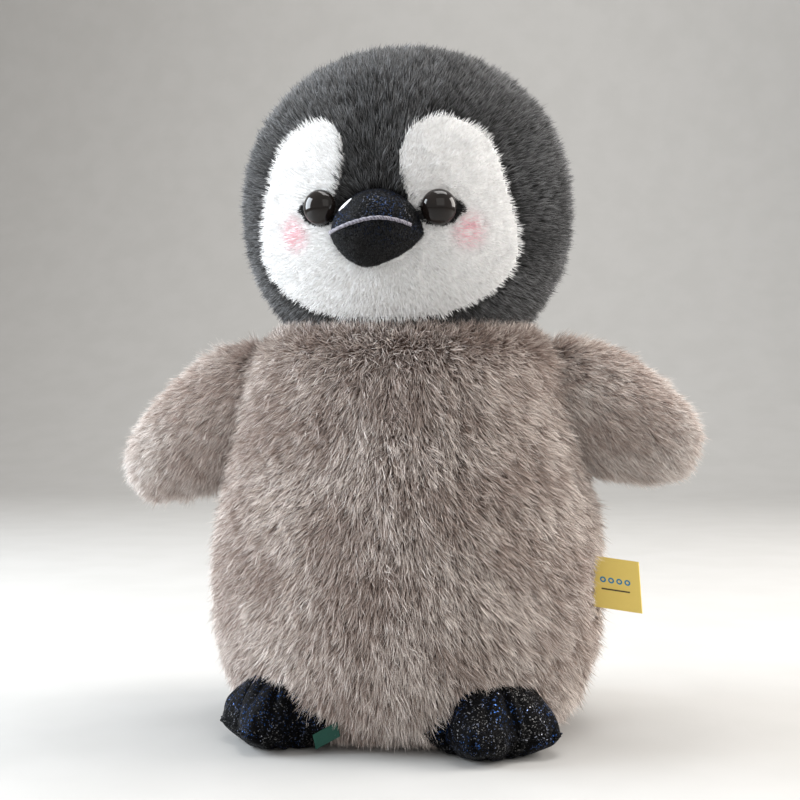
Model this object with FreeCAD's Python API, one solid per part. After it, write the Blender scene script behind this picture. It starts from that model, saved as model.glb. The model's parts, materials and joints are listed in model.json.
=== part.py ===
import FreeCAD, Part
import math
import os

# A soft toy penguin chick that stands on its own base, about 35 cm tall.
# Millimetres. +Z is up, -Y is the way the chick looks, +X is its own left side.
# The origin is on the ground, below the middle of the whole toy.
# Every cover is a wall of pile fabric round its own filling. The head and the flippers
# turn as balls in round hollows of the body, because the real seams flex like that.

os.makedirs("parts", exist_ok=True)
Vec = FreeCAD.Vector
X_AXIS = Vec(1, 0, 0)
Y_AXIS = Vec(0, 1, 0)
Z_AXIS = Vec(0, 0, 1)

# ---- driving dimensions ----
axis_y = 4.5            # the body's own upright axis, set back from the origin
pile_wall = 4.0         # backing plus the packed foot of the pile
filling_gap = 0.2       # between a cover and its filling
moving_gap = 0.6        # least room between two parts that move

body_depth_ratio = 0.88  # front to back size over side to side size
body_top = 206.0
# the body's side outline: radius and height, from the edge of the flat base to the neck
body_outline = [
    (58, 0), (72, 3.5), (84, 13), (91, 28), (96.5, 50), (98, 75), (96, 100),
    (91.5, 125), (86, 150), (81.5, 172), (77, 188), (69, 199), (56, body_top),
]
base_panel_height = 8.0
base_trim = 0.05        # shaved off below, so that the base is truly flat
pouch_half = (46.0, 34.0, 17.0)
pouch_centre = (0.0, 16.5, 26.0)
pouch_wall = 1.0
closing_seam = (70.0, 130.0)    # heights of its two ends, in the middle of the back
closing_half = 0.6
closing_rise = 0.8

head_half_width = 84.0
head_half_depth = 79.0
head_half_height = 82.0
head_centre_z = 264.0
head_squareness = 2.12  # 2 is an egg, more is boxier
head_turned = -4.0      # degrees, the face looks slightly to the chick's right
gusset_half = 27.0      # the hood's middle panel reaches this far to each side
neck_socket_radius = 87.0
neck_thread_z = 200.0
neck_thread_radius = 0.6
neck_thread_in = 1.4    # from the hollow's wall to the thread's own middle

eye_radius = 9.0
eye_rise = 7.0          # how far the dome stands out of the face
eye_side = 29.2
eye_z = 257.0
eye_post_radius = 1.5
eye_post_length = 15.0
eye_seat = 1.4          # the dome's flat back, above the face's cloth
post_fit = 0.02         # between a post and the two discs on it
post_hole_fit = 0.05    # between a post and the cloth or filling round it
washer_radius = 6.5
washer_thickness = 1.6
washer_depth = 6.4      # below the face's surface
washer_fit = 0.3
felt_thickness = 1.0
felt_margin = 1.6       # the felt shows this far round the dome

beak_half = (21.5, 21.0, 18.0)
beak_centre = (0.0, -75.0, 245.5)
mouth_z = 248.0
beak_wall = 1.0
cord_rise = 0.7
cord_half = 0.6
cord_back_y = -79.0     # the mouth cord ends here, short of the face

arm_reach = {"left": 77.0, "right": 84.0}   # from the shoulder's pivot to the tip
arm_half_width = 24.0
arm_thick_ratio = 0.72
shoulder_side = 75.0
shoulder_z = 172.0
shoulder_ball_radius = 25.0
shoulder_socket_radius = 27.0
arm_thread_radius = 0.35
arm_thread_depth = 6.0  # inwards of the shoulder's pivot
arm_wall = 3.0
arm_drop = {"left": 26.0, "right": 35.0}    # degrees below level

# the two feet are sewn on a little differently: middle of each, and half its width
foot_middle = {"left": (47.0, -53.5, 16.5), "right": (-53.0, -49.0, 16.5)}
foot_half_width = {"left": 32.0, "right": 30.5}
foot_half_depth = 31.0
foot_half_height = 19.0
foot_wall = 1.2
foot_seam_z = 9.0
foot_squareness = 2.3

label_size = (28.0, 0.6, 26.0)
label_root_x = 99.2
label_z = 74.0
label_tilt = 7.0        # degrees, its outer end hangs down
ribbon_size = (12.0, 2.4, 7.0)
ribbon_turn = 18.0      # degrees, it lies along the foot's own edge
ribbon_place = (-30.5, -68.0, 1.5)

head_centre = Vec(0, axis_y, head_centre_z)
sides = {"left": 1, "right": -1}
big = 400.0             # more than the whole toy, for blocks that cut it


def save(name, shape):
    """Write one node and say how big it is."""
    solid = shape.removeSplitter()
    assert solid.isValid() and solid.Volume > 0, name
    solid.exportStep("parts/" + name + ".step")
    print(name, len(solid.Solids), round(solid.Volume / 1000, 2))


def spline(points):
    """A smooth edge through points given as (radius, height)."""
    curve = Part.BSplineCurve()
    curve.interpolate([Vec(r, 0, z) for r, z in points])
    return curve.toShape()


def line(start, end):
    """A straight edge between two (radius, height) points."""
    return Part.makeLine(Vec(start[0], 0, start[1]), Vec(end[0], 0, end[1]))


def turned(outline, depth_ratio):
    """Turn an outline round the Z axis, then squeeze the solid front to back."""
    low = outline[0]
    high = outline[-1]
    edges = [spline(outline)]
    if high[0] > 0:
        edges.append(line(high, (0, high[1])))
    edges.append(line((0, high[1]), (0, low[1])))
    if low[0] > 0:
        edges.append(line((0, low[1]), low))
    face = Part.Face(Part.Wire(edges))
    squeeze = FreeCAD.Matrix()
    squeeze.scale(1, depth_ratio, 1)
    return face.revolve(Vec(0, 0, 0), Z_AXIS, 360).transformGeometry(squeeze)


def body_form(inset):
    """The body's outer form, or the same form moved inwards by inset."""
    shrink = (body_top - 2 * inset) / body_top
    outline = [(r - inset, inset + z * shrink) for r, z in body_outline]
    form = turned(outline, body_depth_ratio)
    form.translate(Vec(0, axis_y, 0))
    return form


def rounded(half, centre, square=2.0, steps=13):
    """A closed egg form. |r|^square + |z|^square = 1, stretched to three half sizes."""
    outline = []
    for i in range(steps):
        angle = math.pi * (i / (steps - 1) - 0.5)
        r = abs(math.cos(angle)) ** (2 / square)
        z = math.copysign(abs(math.sin(angle)) ** (2 / square), angle)
        outline.append((0 if i in (0, steps - 1) else half[0] * r, half[2] * z))
    form = turned(outline, half[1] / half[0])
    form.translate(Vec(*centre))
    return form


def ellipsoid(half, centre):
    """A ball stretched to three half sizes."""
    stretch = FreeCAD.Matrix()
    stretch.scale(*half)
    ball = Part.makeSphere(1).transformGeometry(stretch)
    ball.translate(Vec(*centre))
    return ball


def block(x, y, z):
    """A box between two limits along each axis."""
    corner = Vec(x[0], y[0], z[0])
    return Part.makeBox(x[1] - x[0], y[1] - y[0], z[1] - z[0], corner)


def ball(centre, radius):
    return Part.makeSphere(radius, centre)


def ring(centre, radius, thread, direction):
    """A closed loop of thread."""
    return Part.makeTorus(radius, thread, centre, direction)


def spun(shape, pivot, axis, angle):
    """A copy of the shape, turned about an axis through pivot."""
    copy = shape.copy()
    copy.rotate(pivot, axis, angle)
    return copy


def facing(shape):
    """Turn a shape made for a head that looks straight ahead to the head's own way."""
    return spun(shape, head_centre, Z_AXIS, head_turned)


# ---- feet ----
# the hollow that the foot flexes in is larger than the foot by this much each way
foot_room_more = (1.2, 3.0, 4.0)
foot_room_rise = 1.5    # its middle is higher than the foot's


def foot_form(side, inset):
    """A pillow with a flat sole on the ground."""
    whole = (foot_half_width[side], foot_half_depth, foot_half_height)
    half = [h - inset for h in whole]
    above = block((-big, big), (-big, big), (inset, big))
    return rounded(half, foot_middle[side], foot_squareness).common(above)


def foot_room(side):
    """The hollow of the body over one foot, large enough for the foot's whole flex."""
    whole = (foot_half_width[side], foot_half_depth, foot_half_height)
    half = [h + more for h, more in zip(whole, foot_room_more)]
    x, y, z = foot_middle[side]
    return rounded(half, (x, y, z + foot_room_rise), foot_squareness)


def make_foot(side):
    outer = foot_form(side, 0)
    inner = foot_form(side, foot_wall)
    cover = outer.cut(inner)
    low = block((-big, big), (-big, big), (-1, foot_seam_z))
    save("foot_%s_sole" % side, cover.common(low))
    save("foot_%s_upper" % side, cover.cut(low))
    save("foot_%s_stuffing" % side, foot_form(side, foot_wall + filling_gap))


def make_foot_ribbon():
    """A folded loop of ribbon in the inner front seam of the right foot."""
    length, thickness, height = ribbon_size
    ribbon = Part.makeBox(length, thickness, height)
    ribbon.translate(Vec(-length / 2, -thickness / 2, 0))
    ribbon.rotate(Vec(0, 0, 0), Z_AXIS, ribbon_turn)
    ribbon.translate(Vec(*ribbon_place))
    save("foot_ribbon", ribbon.cut(foot_form("right", 0)))


# ---- flippers ----
arm_lifts = (-8, 40)
flank_radius = 97.5     # the body's half width at the height flank_z
flank_z = 100.0
flank_lean = 12.8       # degrees, the flank leans in towards the neck
flank_clearance = 8.0   # lets the thick root swing forward and back
# the flipper's outline: half width over the full half width, distance over the full reach
arm_outline = [
    (0, -0.12), (0.55, -0.09), (0.86, 0.02), (1.0, 0.2), (1.02, 0.38), (0.98, 0.56),
    (0.86, 0.74), (0.62, 0.9), (0.32, 0.98), (0, 1.0),
]


def shoulder(side):
    return Vec(sides[side] * shoulder_side, axis_y, shoulder_z)


def flipper_form(side, inset):
    """A flat paddle from the shoulder outwards and down."""
    reach = arm_reach[side] - inset
    outline = []
    for width, distance in arm_outline:
        outline.append((max(arm_half_width * width - inset, 0), reach * distance))
    thick = (arm_half_width * arm_thick_ratio - inset) / (arm_half_width - inset)
    form = turned(outline, thick)
    form.rotate(Vec(0, 0, 0), Y_AXIS, sides[side] * (90 + arm_drop[side]))
    form.translate(shoulder(side))
    return form


def flank_side(side):
    """All that lies inwards of a plane laid along the body's flank."""
    inwards = block((-big, 0), (-big, big), (-big, big))
    if side == "right":
        inwards = block((0, big), (-big, big), (-big, big))
    inwards.rotate(Vec(0, 0, 0), Y_AXIS, -sides[side] * flank_lean)
    inwards.translate(Vec(sides[side] * (flank_radius + flank_clearance), 0, flank_z))
    return inwards


def free_of_body(arm, side):
    """Trim the flipper's root so that it clears the body at both ends of its lift."""
    for lift in arm_lifts:
        arm = arm.cut(spun(flank_side(side), shoulder(side), Y_AXIS, lift * sides[side]))
    return arm


def make_arm(side):
    """Two cover panels, and a filling whose root is the ball that the shoulder turns on."""
    centre = shoulder(side)
    knob = ball(centre, shoulder_ball_radius)
    cover = free_of_body(flipper_form(side, 0).cut(flipper_form(side, arm_wall)), side)
    cover = cover.cut(ball(centre, shoulder_ball_radius + filling_gap))
    front = block((-big, big), (-big, axis_y), (0, big))
    save("arm_%s_front_panel" % side, cover.common(front))
    save("arm_%s_back_panel" % side, cover.cut(front))
    filling = free_of_body(flipper_form(side, arm_wall + filling_gap), side)
    save("arm_%s_stuffing" % side, filling.fuse(knob))
    between = (shoulder_ball_radius + shoulder_socket_radius) / 2
    radius = math.sqrt(between ** 2 - arm_thread_depth ** 2)
    place = centre - X_AXIS * (sides[side] * arm_thread_depth)
    save("arm_%s_seam_thread" % side, ring(place, radius, arm_thread_radius, X_AXIS))


# ---- body ----
def body_sockets(shape):
    """Hollow the body for the head, both shoulders and both feet."""
    shape = shape.cut(ball(head_centre, neck_socket_radius))
    for side in sides:
        shape = shape.cut(ball(shoulder(side), shoulder_socket_radius))
        shape = shape.cut(foot_room(side))
    return shape


def pouch_form(inset):
    return ellipsoid([h - inset for h in pouch_half], pouch_centre)


def make_body():
    outer = body_form(0)
    outer.translate(Z_AXIS * -base_trim)
    outer = outer.cut(block((-big, big), (-big, big), (-big, 0)))
    inner = body_form(pile_wall)
    cover = body_sockets(outer.cut(inner))
    low = block((-big, big), (-big, big), (-1, base_panel_height))
    front = block((-big, big), (-big, axis_y), (base_panel_height, big))
    left = block((0, big), (axis_y, big), (base_panel_height, big))
    right = block((-big, 0), (axis_y, big), (base_panel_height, big))
    save("base_panel", cover.common(low))
    save("body_front_panel", cover.common(front))
    save("body_back_left_panel", cover.common(left))
    save("body_back_right_panel", cover.common(right))
    filling = body_sockets(body_form(pile_wall + filling_gap))
    save("body_stuffing", filling.cut(pouch_form(-filling_gap)))
    save("pellet_pouch", pouch_form(0).cut(pouch_form(pouch_wall)))
    save("pellets", pouch_form(pouch_wall + filling_gap))
    proud = body_form(-closing_rise).cut(outer)
    closing = block((-closing_half, closing_half), (axis_y, big), closing_seam)
    save("closing_seam_thread", proud.common(closing))


# ---- head ----
def head_form(inset):
    half = (head_half_width - inset, head_half_depth - inset, head_half_height - inset)
    return rounded(half, (0, axis_y, head_centre_z), head_squareness, 15)


def front_y(x, z):
    """How far forward the face's surface is at a place on it."""
    flat = (abs(x / head_half_width) ** 2 + abs((z - head_centre_z) / head_half_height) ** 2)
    return axis_y - head_half_depth * math.sqrt(max(1 - flat, 0))


# one half of the white face's edge, from the bottom of the chin to the brow's notch
face_edge = [
    (0, 205), (20, 205.5), (36, 209), (52, 218), (61, 230), (64, 243), (61, 257), (57, 272),
    (53, 284), (45, 294), (30, 299), (17, 293), (12.5, 281), (13.5, 270), (15, 258), (10, 250),
    (0, 248),
]


def face_prism():
    """The white face's outline, cut through from the front almost to the head's middle."""
    half = [Vec(x, -big, z) for x, z in face_edge]
    other = [Vec(-x, -big, z) for x, z in face_edge[-2:0:-1]]
    curve = Part.BSplineCurve()
    curve.interpolate(Points=half + other, PeriodicFlag=True)
    face = Part.Face(Part.Wire(curve.toShape()))
    return face.extrude(Vec(0, big, 0))


def eye_place(side):
    x = sides[side] * eye_side
    return Vec(x, front_y(x, eye_z), eye_z)


def eye_direction(side):
    """Square to the face where the eye sits, looking outwards."""
    at = eye_place(side)
    slope = Vec(at.x / head_half_width ** 2, (at.y - axis_y) / head_half_depth ** 2,
                (at.z - head_centre_z) / head_half_height ** 2)
    return slope.normalize()


def along(side, distance):
    return eye_place(side) + eye_direction(side) * distance


def eye_post(side, radius):
    start = along(side, eye_seat)
    return Part.makeCylinder(radius, eye_post_length + eye_seat, start, eye_direction(side) * -1)


def make_eye(side):
    out = eye_direction(side)
    seat = along(side, eye_seat)
    dome_radius = (eye_radius ** 2 + eye_rise ** 2) / (2 * eye_rise)
    dome = ball(along(side, eye_seat + eye_rise - dome_radius), dome_radius)
    keep = Part.makeCylinder(2 * eye_radius, 2 * eye_rise, seat, out)
    post = Part.makeCylinder(eye_post_radius, eye_post_length + eye_seat, seat, out * -1)
    save("eye_" + side, facing(dome.common(keep).fuse(post)))
    back = out * -1
    disc = Part.makeCylinder(washer_radius, washer_thickness, along(side, -washer_depth), back)
    hole = eye_post(side, eye_post_radius + post_fit)
    save("eye_washer_" + side, facing(disc.cut(hole)))
    start = along(side, -felt_thickness)
    height = felt_thickness + eye_seat - post_hole_fit
    felt = Part.makeCylinder(eye_radius + felt_margin, height, start, out)
    save("eye_felt_" + side, facing(felt.cut(head_form(-post_hole_fit)).cut(hole)))


def washer_room(side):
    start = along(side, filling_gap - washer_depth)
    length = eye_post_length - pile_wall
    back = eye_direction(side) * -1
    return Part.makeCylinder(washer_radius + washer_fit, length, start, back)


def beak_form(grow):
    return ellipsoid([h + grow for h in beak_half], (0, beak_centre[1] + axis_y, beak_centre[2]))


def make_beak():
    face = head_form(-filling_gap / 2)
    cover = beak_form(0).cut(beak_form(-beak_wall)).cut(face)
    low = block((-big, big), (-big, big), (0, mouth_z))
    save("beak_lower_panel", facing(cover.common(low)))
    save("beak_upper_panel", facing(cover.cut(low)))
    save("beak_stuffing", facing(beak_form(-beak_wall - filling_gap).cut(face)))
    lip = block((-big, big), (-big, cord_back_y), (mouth_z - cord_half, mouth_z + cord_half))
    save("mouth_cord", facing(beak_form(cord_rise).common(lip).cut(beak_form(0))))


def make_head():
    cover = head_form(0).cut(head_form(pile_wall))
    filling = head_form(pile_wall + filling_gap)
    for side in sides:
        cover = cover.cut(eye_post(side, eye_post_radius + post_hole_fit))
        filling = filling.cut(eye_post(side, eye_post_radius + post_hole_fit))
        filling = filling.cut(washer_room(side))
    prism = face_prism()
    hood = cover.cut(prism)
    save("face_panel", facing(cover.common(prism)))
    gusset = block((-gusset_half, gusset_half), (-big, big), (0, big))
    left = block((gusset_half, big), (-big, big), (0, big))
    right = block((-big, -gusset_half), (-big, big), (0, big))
    save("hood_centre_panel", facing(hood.common(gusset)))
    save("hood_left_panel", facing(hood.common(left)))
    save("hood_right_panel", facing(hood.common(right)))
    save("head_stuffing", facing(filling))
    for side in sides:
        make_eye(side)
    make_beak()
    drop = head_centre_z - neck_thread_z
    radius = math.sqrt((neck_socket_radius - neck_thread_in) ** 2 - drop ** 2)
    place = Vec(0, axis_y, neck_thread_z)
    save("neck_seam_thread", ring(place, radius, neck_thread_radius, Z_AXIS))


def make_label():
    """A folded satin label that hangs out of the left side seam."""
    length, thickness, height = label_size
    label = Part.makeBox(length, thickness, height)
    label.translate(Vec(0, -thickness / 2, -height / 2))
    label.rotate(Vec(0, 0, 0), Y_AXIS, label_tilt)
    label.translate(Vec(label_root_x, axis_y, label_z))
    save("side_label", label.cut(body_form(-moving_gap)))


make_body()
make_head()
for one in sides:
    make_arm(one)
    make_foot(one)
make_foot_ribbon()
make_label()
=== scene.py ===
# %% [markdown]
# # A plush penguin chick, dressed round its CAD frame
#
# The real toy is a set of sewn covers made of pile fabric, each filled with loose fibre.
# What the eye sees is nearly all hair: a dense charcoal hood, a short white face, and a long
# taupe coat that is dark at the root and pale at the tip. Blender could fake that with a bumpy
# texture, but a texture has a hard edge against the background. So every hair here is real
# geometry: a thin tapered blade, grown on a surface that is worked out with numpy.

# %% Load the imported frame
import bpy
import json
import numpy as np
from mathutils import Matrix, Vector


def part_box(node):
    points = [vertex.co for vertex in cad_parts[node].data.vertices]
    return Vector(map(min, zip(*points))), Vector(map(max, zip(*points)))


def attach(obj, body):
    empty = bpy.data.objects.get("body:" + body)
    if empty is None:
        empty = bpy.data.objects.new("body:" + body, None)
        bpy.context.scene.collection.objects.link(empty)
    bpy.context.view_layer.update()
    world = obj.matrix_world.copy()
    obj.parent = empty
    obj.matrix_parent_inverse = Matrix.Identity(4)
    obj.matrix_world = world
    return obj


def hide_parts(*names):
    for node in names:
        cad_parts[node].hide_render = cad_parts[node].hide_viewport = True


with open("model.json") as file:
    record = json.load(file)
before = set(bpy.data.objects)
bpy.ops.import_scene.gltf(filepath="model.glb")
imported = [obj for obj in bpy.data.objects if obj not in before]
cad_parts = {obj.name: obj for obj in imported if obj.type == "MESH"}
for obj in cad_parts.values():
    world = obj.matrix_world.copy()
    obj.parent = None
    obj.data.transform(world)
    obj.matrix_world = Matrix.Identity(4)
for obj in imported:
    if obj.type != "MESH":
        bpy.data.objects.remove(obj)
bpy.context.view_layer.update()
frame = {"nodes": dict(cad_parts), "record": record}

# %% [markdown]
# ## Shared sizes
#
# Blender works in metres and the toy's own sizes are easier to read in millimetres, so each
# size is written as a number of MM. The head and the shoulders take their places from the
# joints of the frame and the body its width from its box; the feet's places are given as
# numbers, and the shapes are built round those places.

# %% Sizes taken from the frame
MM = 0.001
joints = {joint["name"]: joint for joint in frame["record"]["behaviour"]["joints"]}


def middle(node):
    """The middle of a CAD node's box."""
    low, high = (np.array(corner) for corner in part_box(node))
    return (low + high) / 2


head_centre = np.array(joints["head_turn"]["pos_m"])
axis_y = head_centre[1]
shoulders = {side: np.array(joints["arm_%s_lift" % side]["pos_m"]) for side in ("left", "right")}
body_low, body_high = (np.array(corner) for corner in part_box("body_front_panel"))
body_half_width = (body_high[0] - body_low[0]) / 2
head_turned = np.radians(-4)
print("head centre", head_centre, "body half width", body_half_width)

# %% [markdown]
# ## Camera, floor and light
#
# The camera stands level with the chick's belly, a little to its left, so the floor is seen
# at a low angle. The floor is one sheet that curves up behind the toy into a wall, a cove,
# which has no horizon line. Two big soft lamps and a pale world
# light it, and the left lamp is cooler, as daylight from a window is.

# %% Camera
view_angle = np.radians(7)
view_distance = 700 * MM
view_height = 166 * MM
frame_offset = 3.7 * MM
sight = np.array([np.sin(view_angle), -np.cos(view_angle), 0])
across = np.array([np.cos(view_angle), np.sin(view_angle), 0])
camera_data = bpy.data.cameras.new("camera")
camera_data.lens = 60.2
camera = bpy.data.objects.new("camera", camera_data)
camera.location = [0, axis_y, view_height] + view_distance * sight - frame_offset * across
camera.rotation_euler = (np.pi / 2, 0, view_angle)
bpy.context.collection.objects.link(camera)
bpy.context.scene.camera = camera


# %% Meshes from arrays
def mesh_object(name, points, corners, sizes, smooth=True):
    """An object whose faces are given as one run of corner numbers and each face's size."""
    mesh = bpy.data.meshes.new(name)
    mesh.vertices.add(len(points))
    mesh.vertices.foreach_set("co", np.ascontiguousarray(points, np.float32).ravel())
    mesh.loops.add(len(corners))
    mesh.loops.foreach_set("vertex_index", np.ascontiguousarray(corners, np.int32))
    mesh.polygons.add(len(sizes))
    starts = np.concatenate([[0], np.cumsum(sizes)[:-1]])
    mesh.polygons.foreach_set("loop_start", starts.astype(np.int32))
    mesh.update(calc_edges=True)
    mesh.polygons.foreach_set("use_smooth", np.full(len(sizes), smooth))
    piece = bpy.data.objects.new(name, mesh)
    bpy.context.collection.objects.link(piece)
    return piece


def grid_faces(rows, columns, closed):
    """Quads between neighbouring rows of points; closed joins the last column to the first."""
    row, column = np.meshgrid(np.arange(rows - 1), np.arange(columns - (not closed)), indexing="ij")
    after = (column + 1) % columns
    quads = np.stack([row * columns + column, row * columns + after,
                      (row + 1) * columns + after, (row + 1) * columns + column], -1)
    return quads.reshape(-1, 4)


def sheet_object(name, points, closed=False):
    """A surface from a grid of points of shape (rows, columns, 3)."""
    rows, columns = points.shape[:2]
    quads = grid_faces(rows, columns, closed)
    return mesh_object(name, points.reshape(-1, 3), quads.ravel(), np.full(len(quads), 4))


def ball_object(name, form, around=96, up=64):
    """A closed skin from a form(u, v): rings from pole to pole, and one point at each pole."""
    v, u = np.meshgrid(np.linspace(0, 1, up + 1)[1:-1], np.arange(around) / around, indexing="ij")
    ring_points = form(u, v).reshape(-1, 3)
    poles = form(np.array([0.0, 0.0]), np.array([0.0, 1.0]))
    points = np.concatenate([ring_points, poles])
    quads = grid_faces(up - 1, around, True)
    first = np.arange(around)
    after = (first + 1) % around
    last_row = (up - 2) * around
    low_pole = len(points) - 2
    bottom = np.stack([after, first, np.full(around, low_pole)], -1)
    top = np.stack([last_row + first, last_row + after, np.full(around, low_pole + 1)], -1)
    corners = np.concatenate([quads.ravel(), bottom.ravel(), top.ravel()])
    sizes = np.concatenate([np.full(len(quads), 4), np.full(2 * around, 3)])
    return mesh_object(name, points, corners, sizes)


# %% Floor and cove
def make_floor():
    """A profile that runs level, bends up in a quarter circle and ends upright, swept sideways."""
    bend = np.radians(np.linspace(0, 90, 24))
    radius = 1.2
    depth = np.concatenate([[-3.0], 1.6 + radius * np.sin(bend), [1.6 + radius]])
    height = np.concatenate([[0.0], radius * (1 - np.cos(bend)), [4.0]])
    side = np.linspace(-4, 4, 5)
    x, y = np.meshgrid(side, depth, indexing="xy")
    z = np.repeat(height[:, None], len(side), 1)
    floor = sheet_object("floor", np.stack([x, y, z], -1))
    floor.location.z = -0.3 * MM
    return floor


floor = make_floor()


# %% Lamps and world
def soft_lamp(name, place, aim, size, power, colour):
    """A square area lamp that points from place towards aim."""
    data = bpy.data.lights.new(name, "AREA")
    data.size = size
    data.energy = power
    data.color = colour
    lamp = bpy.data.objects.new(name, data)
    lamp.location = place
    direction = np.array(aim) - np.array(place)
    lamp.rotation_euler = Vector(direction).to_track_quat("-Z", "Y").to_euler()
    bpy.context.collection.objects.link(lamp)


look_at = (0, 0, 180 * MM)
soft_lamp("window_lamp", (-1.15, -0.1, 0.6), look_at, 0.8, 33, (0.86, 0.93, 1.0))
soft_lamp("front_lamp", (0.5, -1.3, 0.8), look_at, 1.0, 3, (1.0, 0.97, 0.93))
soft_lamp("top_lamp", (0.15, 0.1, 1.25), look_at, 0.8, 15, (1.0, 0.99, 0.97))
soft_lamp("right_lamp", (1.2, 0.25, 0.7), look_at, 0.8, 22, (1.0, 0.95, 0.9))
soft_lamp("wall_lamp", (0, 1.2, 1.9), (0, 2.8, 0.7), 1.5, 20, (1.0, 0.97, 0.93))
bpy.context.scene.view_settings.view_transform = "Standard"
world = bpy.data.worlds.new("studio")
world.use_nodes = True
world.node_tree.nodes["Background"].inputs["Color"].default_value = (1.0, 0.985, 0.97, 1)
world.node_tree.nodes["Background"].inputs["Strength"].default_value = 0.62
bpy.context.scene.world = world

# %% [markdown]
# ## Writing materials as sums
#
# A material in Blender is a graph of nodes. Wiring one by hand in code takes many lines, so
# a small class holds one output of one node, and its operators add Math nodes: `a * 2 + b`
# makes a Multiply and an Add. Colours go through Mix nodes, because a Math node turns a
# colour grey.


# %% Shader sockets
class Value:
    """One output socket in a material. Sums and products with numbers or values add nodes."""

    def __init__(self, paint, socket):
        self.paint = paint
        self.socket = socket

    def math(self, operation, first, second):
        return self.paint.node("ShaderNodeMath", {"operation": operation}, {0: first, 1: second})

    def __add__(self, other):
        return self.math("ADD", self, other)

    __radd__ = __add__

    def __mul__(self, other):
        return self.math("MULTIPLY", self, other)

    __rmul__ = __mul__

    def __sub__(self, other):
        return self.math("SUBTRACT", self, other)

    def __rsub__(self, other):
        return self.math("SUBTRACT", other, self)

    def step(self, low, high):
        """0 below low, 1 above high, and a smooth rise between."""
        settings = {"interpolation_type": "SMOOTHSTEP"}
        return self.paint.node("ShaderNodeMapRange", settings, {0: self, 1: low, 2: high})


class Paint:
    """A material with its Principled shader, and short ways to add nodes to it."""

    def __init__(self, name, **constants):
        self.material = bpy.data.materials.new(name)
        self.material.use_nodes = True
        self.tree = self.material.node_tree
        self.shader = self.tree.nodes["Principled BSDF"]
        for socket, value in constants.items():
            self.shader.inputs[socket.replace("_", " ")].default_value = value

    def node(self, kind, settings=None, sockets=None, output=0):
        """Add a node: its settings first, then a value or a link for each socket."""
        node = self.tree.nodes.new(kind)
        for key, value in (settings or {}).items():
            setattr(node, key, value)
        for key, value in (sockets or {}).items():
            self.put(node.inputs[key], value)
        return Value(self, node.outputs[output])

    def put(self, socket, value):
        """Link a value into a socket, or set the socket to a constant."""
        if isinstance(value, Value):
            self.tree.links.new(value.socket, socket)
        elif isinstance(value, tuple) and len(value) == 3 and socket.type == "RGBA":
            socket.default_value = (*value, 1)
        else:
            socket.default_value = value

    def shade(self, name, value):
        self.put(self.shader.inputs[name], value)

    def mix(self, factor, first, second):
        """A colour between two colours."""
        settings = {"data_type": "RGBA"}
        return self.node("ShaderNodeMix", settings, {0: factor, 6: first, 7: second}, 2)

    def place(self):
        """The point's own place in the toy, in metres."""
        return self.node("ShaderNodeTexCoord", output=3)

    def parts(self, vector):
        """The three numbers of a vector."""
        split = self.node("ShaderNodeSeparateXYZ", sockets={0: vector})
        return [Value(self, socket) for socket in split.socket.node.outputs]

    def noise(self, scale, detail=2.0, vector=None):
        sockets = {"Vector": vector or self.place(), "Scale": scale, "Detail": detail}
        return self.node("ShaderNodeTexNoise", sockets=sockets)

    def map(self, name):
        """The two numbers of the piece's own UV map."""
        return self.parts(self.node("ShaderNodeUVMap", {"uv_map": name}))[:2]

    def bump(self, height, strength, distance):
        sockets = {"Height": height, "Strength": strength, "Distance": distance}
        self.shade("Normal", self.node("ShaderNodeBump", sockets=sockets))


def wear(piece, paint):
    """Give a piece this one material."""
    piece.data.materials.clear()
    piece.data.materials.append(paint.material)


# %% [markdown]
# ## Growing hair
#
# Pile fabric is thousands of straight fibres that all lean one way, the lay, and gather in
# small tufts. Each fibre here is three triangles: two for the shank and one for the tip. A
# fibre starts on a point of the surface, rises along the surface's normal, leans with the
# lay, and its tip is pushed by a smooth field of waves, so that neighbours lean together and
# part from other neighbours, which is what makes tufts.


# %% Smooth fields and sampling
def waves(points, length, seed, count=7):
    """Three smooth numbers at each point: for each, a sum of sines of the given wavelength
    along random directions, divided by the root of how many there are."""
    rng = np.random.default_rng(seed)
    axes = rng.normal(size=(3, count, 3))
    axes /= np.linalg.norm(axes, axis=-1, keepdims=True)
    pitch = 2 * np.pi / (length * rng.uniform(0.7, 1.5, (3, count, 1)))
    phase = rng.uniform(0, 2 * np.pi, (3, count))
    angle = np.einsum("...k,ack->...ac", points, axes * pitch) + phase
    return np.sin(angle).sum(-1) / np.sqrt(count)


def unit(vectors):
    """Each vector divided by its length."""
    return vectors / np.maximum(np.linalg.norm(vectors, axis=-1, keepdims=True), 1e-12)


def smooth_line(points, count=400):
    """A dense line through a few points: Catmull-Rom, that is each stretch is the cubic whose
    slope at a point is half the way from the point before to the point after."""
    points = np.array(points, float)
    padded = np.concatenate([[2 * points[0] - points[1]], points, [2 * points[-1] - points[-2]]])
    where = np.linspace(0, len(points) - 1, count)
    k = np.minimum(where.astype(int), len(points) - 2)
    t = (where - k)[:, None]
    before, start, end, after = padded[k], padded[k + 1], padded[k + 2], padded[k + 3]
    return 0.5 * (2 * start + (end - before) * t
                  + (2 * before - 5 * start + 4 * end - after) * t ** 2
                  + (3 * start - before - 3 * end + after) * t ** 3)


def surface_normals(form, u, v, inside):
    """Outward normals from two small steps along the form, turned away from a point inside."""
    step = 1e-3
    points = form(u, v)
    along_u = form(u + step, v) - form(u - step, v)
    along_v = form(u, np.clip(v + step, 0, 1)) - form(u, np.clip(v - step, 0, 1))
    normals = unit(np.cross(along_u, along_v))
    away = np.sum(normals * (points - inside), -1, keepdims=True)
    return points, normals * np.where(away < 0, -1, 1)


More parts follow.
